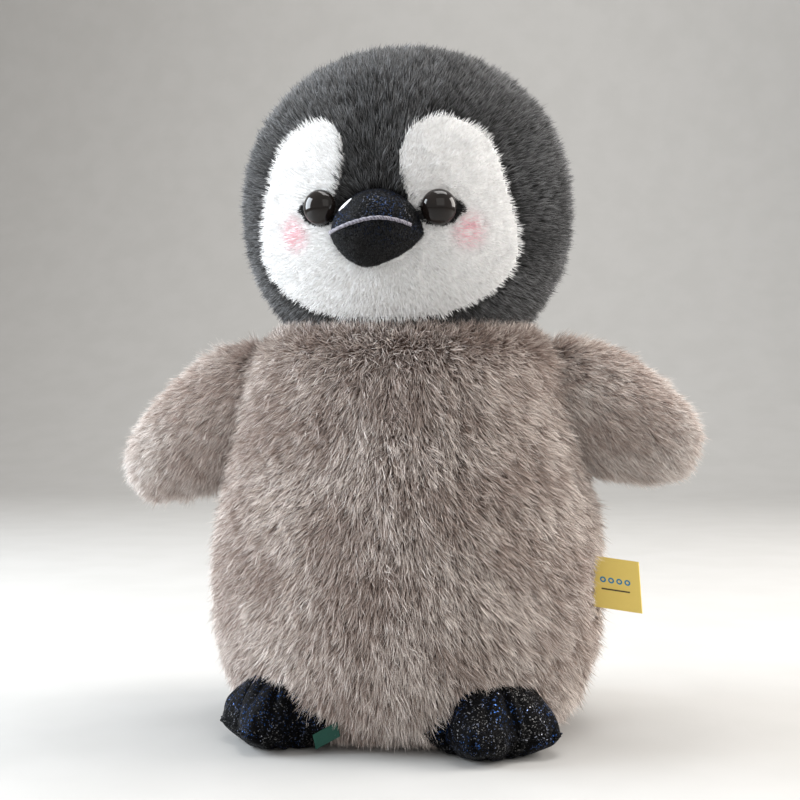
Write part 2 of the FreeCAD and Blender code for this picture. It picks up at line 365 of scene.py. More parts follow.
def sow(form, count, inside, rng, cells=160):
    """Random points spread evenly over a form's area, with their normals: a cell of a fine
    grid is drawn with a chance equal to its share of the area, then a place inside it."""
    edge = np.linspace(0, 1, cells + 1)
    v, u = np.meshgrid(edge, edge, indexing="ij")
    grid = form(u, v)
    side_u = grid[:-1, 1:] - grid[:-1, :-1]
    side_v = grid[1:, :-1] - grid[:-1, :-1]
    area = np.linalg.norm(np.cross(side_u, side_v), axis=-1).ravel()
    cell = np.searchsorted(np.cumsum(area) / area.sum(), rng.random(count))
    cell = np.minimum(cell, cells * cells - 1)
    v = (cell // cells + rng.random(count)) / cells
    u = (cell % cells + rng.random(count)) / cells
    return surface_normals(form, u, v, inside)


# %% Growing one coat
def grow(name, roots, normals, lay, length, width, rng, lean=0.6, scatter=0.25, tuft=0.3,
         tuft_size=6 * MM, droop=0.35, seed=1, sunk=0.0):
    """One mesh of many fibres. Start direction = normal + lean x lay + scatter x chance. End
    direction = start + droop x lay + tuft x waves. Points = root, half way, tip. The roots
    are sunk below the surface, and nothing goes below the ground."""
    count = len(roots)
    roots = roots - normals * sunk
    chance = rng.normal(size=(count, 3))
    start = unit(normals + lean * lay + scatter * chance)
    field = waves(roots, tuft_size, seed)
    end = unit(start + droop * lay + tuft * field)
    long = (length * rng.uniform(0.7, 1.15, count) * (1 + 0.18 * field[:, 0]))[:, None]
    half = start * long * 0.55
    elbow = roots + half
    tip = elbow + end * long * 0.45
    flat = unit(np.cross(start, normals + 0.55 * rng.normal(size=(count, 3))))
    spread = flat * (width / 2 * rng.uniform(0.7, 1.3, count))[:, None]
    base = roots - normals * 0.5 * MM
    points = np.stack([base - spread, base + spread, elbow - spread * 0.8, elbow + spread * 0.8,
                       tip], 1)
    points[..., 2] = np.maximum(points[..., 2], 0.2 * MM)
    facing = np.cross(points[:, 1] - points[:, 0], points[:, 3] - points[:, 0])
    turned = np.sum(facing * normals, -1) < 0
    points[turned] = points[turned][:, [1, 0, 3, 2, 4]]
    pattern = np.array([0, 1, 3, 0, 3, 2, 2, 3, 4])
    corners = (np.arange(count)[:, None] * 5 + pattern).ravel()
    piece = mesh_object(name, points.reshape(-1, 3), corners, np.full(count * 3, 3))
    strand = np.empty((count, 9, 2), np.float32)
    strand[:, :, 0] = rng.random(count)[:, None]
    strand[:, :, 1] = np.array([0, 0, 0.55, 0, 0.55, 0.55, 0.55, 0.55, 1])
    piece.data.uv_layers.new(name="strand").data.foreach_set("uv", strand.ravel())
    print(name, count, "fibres")
    return piece


# %% [markdown]
# ## The body
#
# The body is a pear: one outline turned round an upright axis and squeezed front to back.
# The same form gives the skin under the pile and the roots of the fibres.

# %% The body's form
body_depth = 0.88
body_outline = smooth_line([(0, 0), (40, 0), (58, 0.5), (72, 3.5), (84, 13), (91, 28), (96.5, 50),
                            (98, 75), (96, 100), (91.5, 125), (86, 150), (81.5, 172), (77, 188),
                            (69, 199), (56, 206), (30, 209), (0, 210)])
steps = np.linalg.norm(np.diff(body_outline, axis=0), axis=1)
body_run = np.concatenate([[0], np.cumsum(steps)]) / steps.sum()


def body_form(u, v):
    """radius and height follow the outline by v; u is the angle; depth is 0.88 of width."""
    radius = np.maximum(np.interp(v, body_run, body_outline[:, 0]), 0) * MM
    height = np.maximum(np.interp(v, body_run, body_outline[:, 1]), 0.3) * MM
    angle = 2 * np.pi * u
    return np.stack([radius * np.cos(angle), axis_y + body_depth * radius * np.sin(angle),
                     height + 0 * u], -1)


def in_body(points, margin=0.0):
    """Whether each point lies inside the body's form, less a margin."""
    rising = body_outline[20:-20]
    radius = np.interp(points[:, 2], rising[:, 1] * MM, rising[:, 0] * MM) - margin
    out = np.hypot(points[:, 0], (points[:, 1] - axis_y) / body_depth)
    return (out < radius) & (points[:, 2] < 210 * MM)


# %% [markdown]
# ## The head
#
# The head is a slightly squared egg. The white face is a separate piece of short pile sewn
# into the dark hood, with a dark peak that runs down to the beak. Its edge is a closed curve
# drawn on the front of the head, the same on both sides.

# %% The head's form
head_half = np.array([84, 79, 82]) * MM
head_square = 2.12
face_rim = [(0, 205.5), (20, 206.5), (36, 210.5), (51, 219), (60.5, 230), (63.5, 243), (61, 256.5),
            (57, 272), (53, 284.5), (45, 294), (30, 299.5)]
notch = {"left": [(16.5, 293.5), (11.2, 281.5), (11.6, 270), (15, 260), (15, 250), (8, 246),
                  (0, 245)],
         "right": [(20, 293.5), (16.4, 281.5), (17.6, 270), (21, 260), (20, 250), (8, 246),
                   (0, 245)]}
face_left = smooth_line(face_rim + notch["left"], 160) * MM
face_right = smooth_line(face_rim + notch["right"], 160) * MM
face_edge = np.concatenate([face_left, face_right[::-1] * [-1, 1]])


def to_head(points):
    """Places as the head has them when it looks straight ahead."""
    c, s = np.cos(-head_turned), np.sin(-head_turned)
    x, y, z = np.moveaxis(points - [0, axis_y, 0], -1, 0)
    return np.stack([c * x - s * y, s * x + c * y, z], -1)


def from_head(points):
    """The way back from to_head, for places and for directions alike but for the axis."""
    c, s = np.cos(head_turned), np.sin(head_turned)
    x, y, z = np.moveaxis(points, -1, 0)
    return np.stack([c * x - s * y, s * x + c * y, z], -1) + [0, axis_y, 0]


def head_form(u, v):
    """|x/a|^n + |y/b|^n' + |z/c|^n = 1 with round rings: the height is a signed power of the
    sine of the way up, the radius the same power of its cosine."""
    rise = np.pi * (v - 0.5)
    radius = np.abs(np.cos(rise)) ** (2 / head_square)
    height = np.sign(rise) * np.abs(np.sin(rise)) ** (2 / head_square)
    angle = 2 * np.pi * u
    local = np.stack([radius * np.cos(angle) * head_half[0], radius * np.sin(angle) * head_half[1],
                      height * head_half[2] + head_centre[2]], -1)
    return from_head(local)


def in_outline(x, z, edge):
    """Whether each place lies inside a closed line: it does if a ray from it crosses the line
    an odd number of times."""
    x0, z0 = edge[:, 0], edge[:, 1]
    x1, z1 = np.roll(x0, -1), np.roll(z0, -1)
    inside = np.zeros(len(x), bool)
    for a, b, c, d in zip(x0, z0, x1, z1):
        if b != d:
            inside ^= ((z > b) != (z > d)) & (x < (c - a) * (z - b) / (d - b) + a)
    return inside


def in_face(points):
    """Whether each place lies on the front of the head, inside the white face's outline."""
    local = to_head(points)
    return in_outline(local[:, 0], local[:, 2], face_edge) & (local[:, 1] < 0)


def head_front(x, z):
    """How far forward the head's surface is, in the head's own frame."""
    part = np.abs(x / head_half[0]) ** 2.06 + np.abs((z - head_centre[2]) / head_half[2]) ** 2.12
    return -head_half[1] * np.sqrt(np.maximum(1 - part, 0))


# %% [markdown]
# ## The flippers
#
# Each flipper is a flat paddle that starts inside the body's side and hangs outwards.

# %% The flippers' form
flipper_outline = smooth_line([(0, -14), (19, -9), (27, 4), (29, 18), (28.5, 32), (26, 47),
                               (22, 61), (16, 73), (9, 80), (0, 82)])
flipper_runs = np.linspace(0, 1, len(flipper_outline))
flipper_drop = {"left": np.radians(26), "right": np.radians(35)}
flipper_reach = {"left": 77 / 82, "right": 84 / 82}
side_sign = {"left": 1, "right": -1}


def flipper_axes(side):
    """Along the flipper, across it upwards, and its flat side's direction."""
    drop, sign = flipper_drop[side], side_sign[side]
    along = np.array([sign * np.cos(drop), 0, -np.sin(drop)])
    upper = np.array([sign * np.sin(drop), 0, np.cos(drop)])
    return along, upper, np.array([0, -1.0, 0])


def flipper_form(side):
    along, upper, front = flipper_axes(side)

    def form(u, v):
        """distance along the flipper and half width follow the outline by v; u goes round an
        oval whose thickness is 0.64 of its width."""
        width = np.maximum(np.interp(v, flipper_runs, flipper_outline[:, 0]), 0)[..., None] * MM
        run = np.interp(v, flipper_runs, flipper_outline[:, 1])[..., None] * MM
        angle = (2 * np.pi * u)[..., None]
        return (shoulders[side] + along * run * flipper_reach[side]
                + upper * width * np.cos(angle) + front * 0.64 * width * np.sin(angle))

    return form


def in_flipper(points, side, margin=0.0):
    """Whether each place is nearer to the flipper's middle line than its width there."""
    along, upper, front = flipper_axes(side)
    local = points - shoulders[side]
    run = local @ along / flipper_reach[side] / MM
    width = np.interp(run, flipper_outline[:, 1], flipper_outline[:, 0], 0, 0) * MM - margin
    out = np.hypot(local @ upper, local @ front / 0.64)
    return out < width


def in_head(points, margin=0.0):
    """|x/a|^n + |y/b|^n + |z/c|^n < 1, with each half size less a margin."""
    local = (to_head(points) - [0, 0, head_centre[2]]) / (head_half - margin)
    return np.sum(np.abs(local) ** 2.08, -1) < 1


# %% [markdown]
# ## Paint for the pile
#
# The taupe fibre is dark at the root, as painted shade where the fibres shade each other, and
# pale at the tip. The colour runs along the strand's own map, from root to tip, each strand is a
# little lighter or darker than the next, and wide soft patches over the coat vary too.


# %% Pile materials
def pile_paint(name, root, shank, tip, spread, rough=0.72, patch=0.25, patch_size=30.0):
    """Fibre colour = root (painted shade), then shank, then tip along the strand, times chance and
    patches.
    """
    paint = Paint(name, Roughness=rough, Sheen_Weight=0.15, Sheen_Roughness=0.5,
                  Specular_IOR_Level=0.25)
    chance, rise = paint.map("strand")
    patches = paint.noise(patch_size, 2.0).step(0.35, 0.65)
    # Dark at the root: painted shade where the fibres shade each other.
    lower = paint.mix(rise.step(0.0, 0.6), root, shank)
    upper = paint.mix((rise + chance * 0.3 - 0.15 + patches * patch - patch / 2).step(0.45, 1.0),
                      lower, tip)
    shade = paint.mix((1 - chance) * spread, upper, tuple(0.35 * c for c in shank))
    paint.shade("Base Color", shade)
    return paint


coat_paint = pile_paint("taupe_pile", (0.11, 0.066, 0.052), (0.44, 0.345, 0.3),
                        (0.95, 0.87, 0.815), 0.5)
# The flippers wear the same taupe pile painted lighter: painted light for the light that falls on
# them from above and the sides.
flipper_lit_paint = pile_paint("taupe_pile_painted_lighter", (0.15, 0.095, 0.078), (0.56, 0.45, 0.4),
                           (0.97, 0.92, 0.88), 0.4)
hood_paint = pile_paint("charcoal_pile", (0.014, 0.014, 0.014), (0.055, 0.055, 0.056),
                        (0.25, 0.252, 0.258), 0.6)


def face_pile_paint():
    """White fibre with a soft pink patch on each cheek: the pink fades with the distance from
    the cheek's middle."""
    paint = Paint("white_pile", Roughness=0.8, Sheen_Weight=0.2, Specular_IOR_Level=0.2)
    chance, rise = paint.map("strand")
    # Greyer at the root: painted shade between the fibres.
    white = paint.mix(rise.step(0.0, 0.5), (0.8, 0.795, 0.79), (0.93, 0.93, 0.93))
    white = paint.mix(chance * 0.08, white, (0.7, 0.69, 0.69))
    for sign in (-1, 1):
        x = sign * 44 * MM
        z = 244.5 * MM
        middle_point = from_head(np.array([x, head_front(x, z) - 5 * MM, z]))
        offset = paint.node("ShaderNodeVectorMath", {"operation": "SUBTRACT"},
                            {0: paint.place(), 1: tuple(middle_point)})
        away = paint.node("ShaderNodeVectorMath", {"operation": "LENGTH"}, {0: offset}, 1)
        blush = 1 - away.step(0, 13 * MM)
        white = paint.mix(blush * 0.62, white, (0.93, 0.3, 0.4))
    paint.shade("Base Color", white)
    return paint


white_paint = face_pile_paint()


def bed_paint(name, low, high, scale=420.0):
    """The backing under a pile, seen only between the fibres; where it is darker than the fibre,
    that is painted shade.
    """
    paint = Paint(name, Roughness=0.95, Specular_IOR_Level=0.1)
    speck = paint.noise(scale, 3.0)
    paint.shade("Base Color", paint.mix(speck.step(0.35, 0.7), low, high))
    paint.bump(speck, 0.8, 1.5 * MM)
    return paint


# Under the taupe coat and the hood the backing is darker than the fibre: painted shade between the
# fibres.
coat_shade_bed = bed_paint("taupe_backing_painted_shade", (0.07, 0.045, 0.036), (0.18, 0.13, 0.11))
hood_shade_bed = bed_paint("charcoal_backing_painted_shade", (0.006, 0.006, 0.007), (0.022, 0.022, 0.024))
face_bed = bed_paint("white_backing", (0.78, 0.77, 0.765), (0.9, 0.895, 0.89))

# %% Glitter cloth, plastics, satin and cord
def glitter_paint(name, shine, glint_share):
    """Black cloth under a film of tiny mirror flakes. Each cell of a fine Voronoi pattern is
    one flake, tilted its own way, and a cell's own chance says whether it shines. Wide
    patches turn it blue."""
    paint = Paint(name, Specular_IOR_Level=0.05)
    place = paint.place()
    scale = 1 / (0.6 * MM)
    flake = paint.node("ShaderNodeTexVoronoi", sockets={"Vector": place, "Scale": scale}, output=1)
    chance, tint, _ = paint.parts(flake)
    edge = paint.node("ShaderNodeTexVoronoi", {"feature": "DISTANCE_TO_EDGE"},
                      {"Vector": place, "Scale": scale})
    inside = edge.step(0.03, 0.16)
    glint = chance.step(1 - glint_share, 1.0) * inside
    blue = paint.noise(55.0, 1.0).step(0.36, 0.54)
    flakes = paint.mix(blue * tint.step(0.1, 0.6), (0.5, 0.5, 0.5), (0.07, 0.26, 0.85))
    paint.shade("Base Color", paint.mix(glint * shine, (0.002, 0.002, 0.0025), flakes))
    paint.shade("Metallic", glint * 0.9)
    paint.shade("Roughness", 0.5 - glint * 0.28)
    level = paint.node("ShaderNodeVectorMath", {"operation": "SUBTRACT"},
                       {0: flake, 1: (0.5, 0.5, 0.5)})
    tilt = paint.node("ShaderNodeVectorMath", {"operation": "SCALE"}, {0: level, 3: 0.75})
    upright = paint.node("ShaderNodeNewGeometry", output=1)
    normal = paint.node("ShaderNodeVectorMath", {"operation": "ADD"}, {0: upright, 1: tilt})
    normal = paint.node("ShaderNodeVectorMath", {"operation": "NORMALIZE"}, {0: normal})
    sockets = {"Height": inside, "Strength": 0.8, "Distance": 0.25 * MM, "Normal": normal}
    paint.shade("Normal", paint.node("ShaderNodeBump", sockets=sockets))
    return paint


def eye_paint():
    """Glossy black plastic with a faint brown depth."""
    paint = Paint("eye_plastic", Coat_Weight=0.12, Coat_Roughness=0.02, Specular_IOR_Level=0.25)
    cloud = paint.noise(140.0, 1.0)
    paint.shade("Base Color", paint.mix(cloud, (0.004, 0.0035, 0.0035), (0.016, 0.011, 0.009)))
    paint.shade("Roughness", cloud * 0.06 + 0.03)
    return paint


def satin_paint(name, colour, rib_shade_and_tone_colour, threads):
    """Woven satin: fine ribs across the ribbon's own map, brighter where the weave lifts: painted
    light.
    """
    paint = Paint(name, Roughness=0.42, Specular_IOR_Level=0.3)
    along, across = paint.map("cloth")
    rib = paint.node("ShaderNodeMath", {"operation": "SINE"}, {0: across * (threads * 6.2832)})
    weave = rib * 0.5 + 0.5
    cloud = paint.noise(180.0, 2.0)
    # The ribs' tone is painted light and shade on the weave; the clouds vary the tone at random.
    cloth = paint.mix(weave * 0.25 + cloud * 0.3, colour, rib_shade_and_tone_colour)
    paint.shade("Base Color", cloth)
    paint.bump(weave, 0.25, 0.08 * MM)
    return paint, cloth, along, across


def label_paint():
    """Yellow satin with a plain printed pattern: a row of small blue rings over a thin line."""
    yellow, rib_shade_and_tone = (0.78, 0.6, 0.16), (0.66, 0.47, 0.1)
    paint, cloth, along, across = satin_paint("yellow_satin", yellow, rib_shade_and_tone, 90)
    middle_row = 0.56
    for place in (0.17, 0.24, 0.31, 0.38):
        side = (along - place) * 56
        rise = (across - middle_row) * 26
        away = paint.node("ShaderNodeMath", {"operation": "SQRT"}, {0: side * side + rise * rise})
        ring = (1 - away.step(1.35, 1.6)) * away.step(0.55, 0.8)
        cloth = paint.mix(ring, cloth, (0.03, 0.2, 0.36))
    bar = along.step(0.15, 0.155) * (1 - along.step(0.395, 0.4))
    bar = bar * across.step(0.36, 0.37) * (1 - across.step(0.39, 0.4))
    cloth = paint.mix(bar, cloth, (0.06, 0.04, 0.02))
    # Darker towards the root, where the label goes into the body under the fur: painted shade.
    root = 1 - along.step(0.0, 0.09)
    cloth = paint.mix(root * 0.5, cloth, (0.34, 0.2, 0.03))
    paint.shade("Base Color", cloth)
    return paint


def thread_paint(name, dark, light, pitch):
    """Twisted thread: slanting bands of painted light and shade along the twist."""
    paint = Paint(name, Roughness=0.7, Sheen_Weight=0.3)
    x, y, z = paint.parts(paint.place())
    twist = paint.node("ShaderNodeMath", {"operation": "SINE"}, {0: (x + y + z) * (6.2832 / pitch)})
    # The bands are painted light and shade on the twist.
    paint.shade("Base Color", paint.mix(twist * 0.5 + 0.5, dark, light))
    paint.bump(twist, 0.5, 0.2 * MM)
    return paint


def plain_paint(name, low, high, size, rough=0.8, bump=0.5, depth=0.5 * MM, **constants):
    """Two tones of one colour in soft clouds, with a bump of the same size."""
    paint = Paint(name, Roughness=rough, **constants)
    cloud = paint.noise(1 / size, 4.0)
    paint.shade("Base Color", paint.mix(cloud.step(0.3, 0.7), low, high))
    paint.bump(cloud, bump, depth)
    return paint


def pellet_paint():
    """Plastic grains: one Voronoi cell is one grain, domed by its distance from the edge."""
    paint = Paint("pellet_plastic", Roughness=0.3, Coat_Weight=0.3, Coat_Roughness=0.2)
    sockets = {"Vector": paint.place(), "Scale": 1 / (3.2 * MM)}
    grain = paint.node("ShaderNodeTexVoronoi", sockets=sockets, output=1)
    edge = paint.node("ShaderNodeTexVoronoi", {"feature": "DISTANCE_TO_EDGE"}, sockets)
    body = paint.mix(paint.parts(grain)[0], (0.62, 0.64, 0.62), (0.85, 0.86, 0.84))
    # Dark at each grain's edge: painted shade between the grains.
    paint.shade("Base Color", paint.mix(edge.step(0.0, 0.15), (0.25, 0.25, 0.24), body))
    paint.bump(edge.step(0.0, 0.5), 1.0, 1.2 * MM)
    return paint


cream_floor = plain_paint("cream_floor", (0.405, 0.4, 0.389), (0.422, 0.417, 0.407), 60 * MM,
                          0.6, 0.02)
wear(floor, cream_floor)
black_pile = pile_paint("black_felt", (0.004, 0.004, 0.004), (0.01, 0.01, 0.011),
                        (0.03, 0.03, 0.032), 0.5)
black_bed = bed_paint("black_felt_backing", (0.003, 0.003, 0.003), (0.012, 0.012, 0.013))
foot_glitter = glitter_paint("foot_glitter", 0.4, 0.24)
beak_glitter = glitter_paint("beak_glitter", 0.14, 0.5)
chin_glitter = glitter_paint("chin_glitter", 0.12, 0.5)
dome_paint = eye_paint()
label_satin = label_paint()
ribbon_satin = satin_paint("green_ribbon", (0.004, 0.062, 0.042), (0.003, 0.035, 0.026), 30)[0]
cord_paint = thread_paint("mouth_cord_thread", (0.11, 0.1, 0.13), (0.26, 0.25, 0.3), 1.6 * MM)
fibrefill = plain_paint("fibrefill", (0.72, 0.72, 0.71), (0.92, 0.92, 0.92), 5 * MM, 0.9, 0.8,
                        2 * MM)
print(len(bpy.data.materials), "materials")

# %% [markdown]
# ## Growing the taupe coat
#
# The lay of the body runs down and away from the middle of the chest. Fibres are not grown
# where another part covers the body.


# %% Coat of the body
def tangent(directions, normals):
    """The part of each direction that lies in the surface."""
    flat = directions - normals * np.sum(directions * normals, -1, keepdims=True)
    return unit(flat)


def coat_lay(points, normals):
    """Down, and sideways away from the chest's middle line."""
    side = np.clip(points[:, 0] / (60 * MM), -1, 1) * 0.75
    down = np.stack([side, np.zeros(len(points)), -np.ones(len(points))], -1)
    return tangent(down, normals)


def from_top(points):
    """Level directions away from the body's upright axis."""
    level = points - [0, axis_y, 0]
    return unit(level * [1, 1, 0])


def make_skin(name, form, around, up, paint):
    """The closed surface of a form, in one material."""
    skin = ball_object(name, form, around, up)
    wear(skin, paint)
    return skin


def inner(form, inside, depth):
    """A form moved inwards: each point goes towards the point inside by depth."""

    def smaller(u, v):
        points = form(u, v)
        return points - unit(points - inside) * depth

    return smaller


coat_width = 0.36 * MM
body_inside = np.array([0, axis_y, 100 * MM])
# The body's skin wears the darker backing, painted shade between the fibres.
body_skin = make_skin("body_skin", inner(body_form, body_inside, 2.5 * MM), 128, 96, coat_shade_bed)
rng = np.random.default_rng(11)
roots, normals = sow(body_form, 295000, body_inside, rng)
hidden = in_head(roots, 4 * MM)
for side in ("left", "right"):
    hidden |= in_flipper(roots, side, 4 * MM)
seen = ~hidden & (normals[:, 2] > -0.9)
roots, normals = roots[seen], normals[seen]
lay = coat_lay(roots, normals)
label_root = np.array(joints["label_flap"]["pos_m"])
by_label = (np.abs(roots - label_root - [0, -16 * MM, 0]) < np.array([30, 16, 17]) * MM).all(-1)
neck = np.clip((roots[:, 2] / MM - 178) / 28, 0, 1)[:, None]
lay = lay * (1 - neck) - 0.5 * neck * from_top(roots)
long = np.where(by_label, 5 * MM, 11 * MM) * (1 - 0.45 * neck[:, 0])
sector = np.floor((np.arctan2(roots[:, 1] - axis_y, roots[:, 0]) / np.pi + 1) * 3 % 6).astype(int)
coat_names = ("coat_front_right", "coat_front_middle", "coat_front_left",
              "coat_back_left", "coat_back_middle", "coat_back_right")
coat_pieces = {}
for number, name in enumerate(coat_names):
    part = sector == number
    coat = grow(name, roots[part], normals[part], lay[part], long[part], coat_width, rng,
                lean=1.0, scatter=0.33, tuft=0.4, tuft_size=6 * MM, droop=0.5, seed=3,
                sunk=2.5 * MM)
    wear(coat, coat_paint)
    coat_pieces[name] = coat

# %% Coats of the flippers
flipper_pieces = {}
for side in ("left", "right"):
    form = flipper_form(side)
    along = flipper_axes(side)[0]
    deep = shoulders[side] + along * 30 * MM
    skin = make_skin("flipper_%s_skin" % side, inner(form, deep, 1.2 * MM), 72, 64, coat_shade_bed)
    filling = make_skin("flipper_%s_filling" % side, inner(form, deep, 3 * MM), 36, 32, fibrefill)
    points, normals = sow(form, 55000, deep, rng)
    seen = ~in_body(points, 3 * MM)
    points, normals = points[seen], normals[seen]
    flow = along + np.array([0, 0, -0.45])
    lay = tangent(np.broadcast_to(flow, points.shape), normals)
    coat = grow("flipper_%s_coat" % side, points, normals, lay, 10.5 * MM, coat_width, rng,
                lean=1.0, scatter=0.3, tuft=0.35, tuft_size=5 * MM, droop=0.5, seed=4, sunk=2 * MM)
    # The lighter copy of the taupe pile, painted light.
    wear(coat, flipper_lit_paint)
    flipper_pieces[side] = (skin, filling, coat)

# %% Coats of the head
hood_width = 0.34 * MM
# The head's skin wears the darker backing, painted shade between the fibres.
head_skin = make_skin("head_skin", inner(head_form, head_centre, 2.5 * MM), 128, 96, hood_shade_bed)
roots, normals = sow(head_form, 170000, head_centre, rng)
beak_middle = from_head(np.array([0, -82, 246]) * MM)
from_beak = tangent(roots - beak_middle, normals)
white = in_face(roots)
local = to_head(roots)
eye_places = {1: (28.8 * MM, 255.6 * MM), -1: (-26.8 * MM, 256.8 * MM)}
beak_base = (np.abs(local[:, 0] / (20 * MM)) ** 1.9
             + np.abs((local[:, 2] - 246 * MM) / (16.5 * MM)) ** 1.9)
covered = in_body(roots, 6 * MM) | ((beak_base < 1) & (local[:, 1] < 0))
for sign in (-1, 1):
    eye_x, eye_z = eye_places[sign]
    from_eye = np.hypot(local[:, 0] - eye_x, local[:, 2] - eye_z + 0.5 * MM)
    covered |= (from_eye < 9.2 * MM) & (local[:, 1] < 0)
hood = ~white & ~covered
left_half = roots[:, 0] < 0
hood_pieces = []
for name, part in (("hood_left", left_half & hood), ("hood_right", ~left_half & hood)):
    coat = grow(name, roots[part], normals[part], from_beak[part], 7.5 * MM, hood_width, rng,
                lean=0.9, scatter=0.28, tuft=0.25, tuft_size=5 * MM, droop=0.35, seed=5,
                sunk=2.8 * MM)
    wear(coat, hood_paint)
    hood_pieces.append(coat)
part = white & ~covered
face_coat = grow("face_coat", roots[part], normals[part], from_beak[part], 3.6 * MM, hood_width,
                 rng, lean=0.8, scatter=0.3, tuft=0.15, tuft_size=7 * MM, droop=0.2, seed=6)
wear(face_coat, white_paint)

# %% The white face's backing
def make_face_skin():
    """A fine grid over the front of the head, a little proud of the hood's skin. Only the
    squares inside the face's outline stay."""
    x, z = np.meshgrid(np.arange(-66, 66.5, 1) * MM, np.arange(202, 302, 1) * MM)
    points = from_head(np.stack([x, head_front(x, z) + 0.2 * MM, z], -1)).reshape(-1, 3)
    quads = grid_faces(x.shape[0], x.shape[1], False)
    centre_x = x.ravel()[quads].mean(1)
    centre_z = z.ravel()[quads].mean(1)
    kept = quads[in_outline(centre_x, centre_z, face_edge)]
    used, compact = np.unique(kept, return_inverse=True)
    skin = mesh_object("face_skin", points[used], compact.ravel(), np.full(len(kept), 4))
    shell = skin.modifiers.new("thickness", "SOLIDIFY")
    shell.thickness = 2 * MM
    wear(skin, face_bed)
    return skin


face_skin = make_face_skin()

# %% [markdown]
# ## Eyes
#
# An eye is a glossy plastic dome on a post. It is turned on a lathe: a profile of radius and
# height, spun round the line that stands square to the face. Behind it lies an almond of
# black felt with its own short fibre, and its points show at both corners of the eye.


# %% Eyes and felt
def lathe(name, profile, origin, axis, around=64):
    """Spin (radius, height) points round an axis from origin. The first and last lie on it."""
    axis = unit(np.array(axis))
    side = unit(np.cross(axis, [0, 0, 1.0]))
    upper = np.cross(side, axis)
    profile = np.array(profile, float)
    runs = np.linspace(0, 1, len(profile))

    def form(u, v):
        radius = np.maximum(np.interp(v, runs, profile[:, 0]), 0)[..., None] * MM
        height = np.interp(v, runs, profile[:, 1])[..., None] * MM
        angle = (2 * np.pi * np.asarray(u))[..., None]
        return origin + axis * height + radius * (side * np.cos(angle) + upper * np.sin(angle))

    return ball_object(name, form, around, len(profile) - 1)


def on_face(x, z, proud=0.0):
    """A place on the head's front, moved forward by proud; x and z as seen from the front."""
    y = head_front(x, z) - proud
    return from_head(np.stack(np.broadcast_arrays(x, y, z), -1))


def face_normal(x, z):
    """The way out of the face at a place, from two short steps along it."""
    step = 0.1 * MM
    here = on_face(x, z)
    normal = np.cross(on_face(x + step, z) - here, on_face(x, z + step) - here)
    return unit(normal)


dome = np.radians(np.linspace(4, 90, 22))
eye_profile = [(0, -13.6), (1.5, -13.5), (1.5, -6), (1.5, 0.9), (5, 1.0), (8.1, 1.0), (8.4, 1.3)]
eye_profile += [(8.45 * np.cos(a), 1.4 + 6.6 * np.sin(a)) for a in dome[:-1]] + [(0, 8.0)]
almond = [(-10.5, -3.6), (-7.5, 1.5), (-4, 4.6), (1, 5.6), (6, 4.0), (11.2, 0.2), (9.6, -2.6),
          (6.5, -5.6), (2, -7.4), (-3, -7.2), (-7.5, -5.4), (-10.5, -3.6)]
almond_line = smooth_line(almond, 97)[:-1] * MM
eyes = {}
for side, sign in side_sign.items():
    eye_x, eye_z = eye_places[sign]
    place = on_face(eye_x, eye_z)
    out = face_normal(eye_x, eye_z)
    eye = lathe("eye_dome_" + side, eye_profile, place, out)
    wear(eye, dome_paint)

    def felt_form(u, v, sign=sign, eye_x=eye_x, eye_z=eye_z):
        """From the almond's middle outwards by v, and round its edge by u."""
        where = (np.asarray(u) % 1) * len(almond_line)
        low = where.astype(int) % len(almond_line)
        part = (where - where.astype(int))[..., None]
        edge = almond_line[low] * (1 - part) + almond_line[(low + 1) % len(almond_line)] * part
        flat = edge * np.asarray(v)[..., None]
        x = eye_x + sign * flat[..., 0]
        return on_face(x, eye_z + flat[..., 1], 1.6 * MM - 1.2 * MM * np.asarray(v) ** 4)

    v, u = np.meshgrid(np.linspace(0.02, 1, 12), np.arange(96) / 96, indexing="ij")
    felt = sheet_object("eye_felt_%s_sheet" % side, felt_form(u[:, ::sign], v), closed=True)
    wear(felt, black_bed)
    shell = felt.modifiers.new("thickness", "SOLIDIFY")
    shell.thickness = 0.8 * MM
    points, normals = sow(felt_form, 4200, head_centre, rng, 80)
    outwards = tangent(points - place + np.array([0, 0, -2.0]) * MM, normals)
    hair = grow("eye_felt_%s_hair" % side, points, normals, outwards, 2.1 * MM, 0.26 * MM, rng,
                lean=0.9, scatter=0.3, tuft=0.2, tuft_size=3 * MM, droop=0.3, seed=8)
    wear(hair, black_pile)
    eyes[side] = (eye, felt, hair)
    print("eye", side, "at", np.round(place / MM, 1))

# %% [markdown]
# ## Beak
#
# The beak is a stuffed cone of two panels, joined along the mouth by a twisted cord. Both
# panels come from one form of two angles: a is the turn from one corner of the mouth to the
# other, b the climb from the mouth line. Below the mouth the exponent is smaller, so the
# chin comes to a point, and the point sits a little to one side, as it is sewn. The mouth
# line itself rises to an arch.

# %% Beak
beak_centre = np.array([0, -75, 244]) * MM
beak_half = np.array([21.6, 21.5, 20.6]) * MM
chin_depth = 15.6 * MM


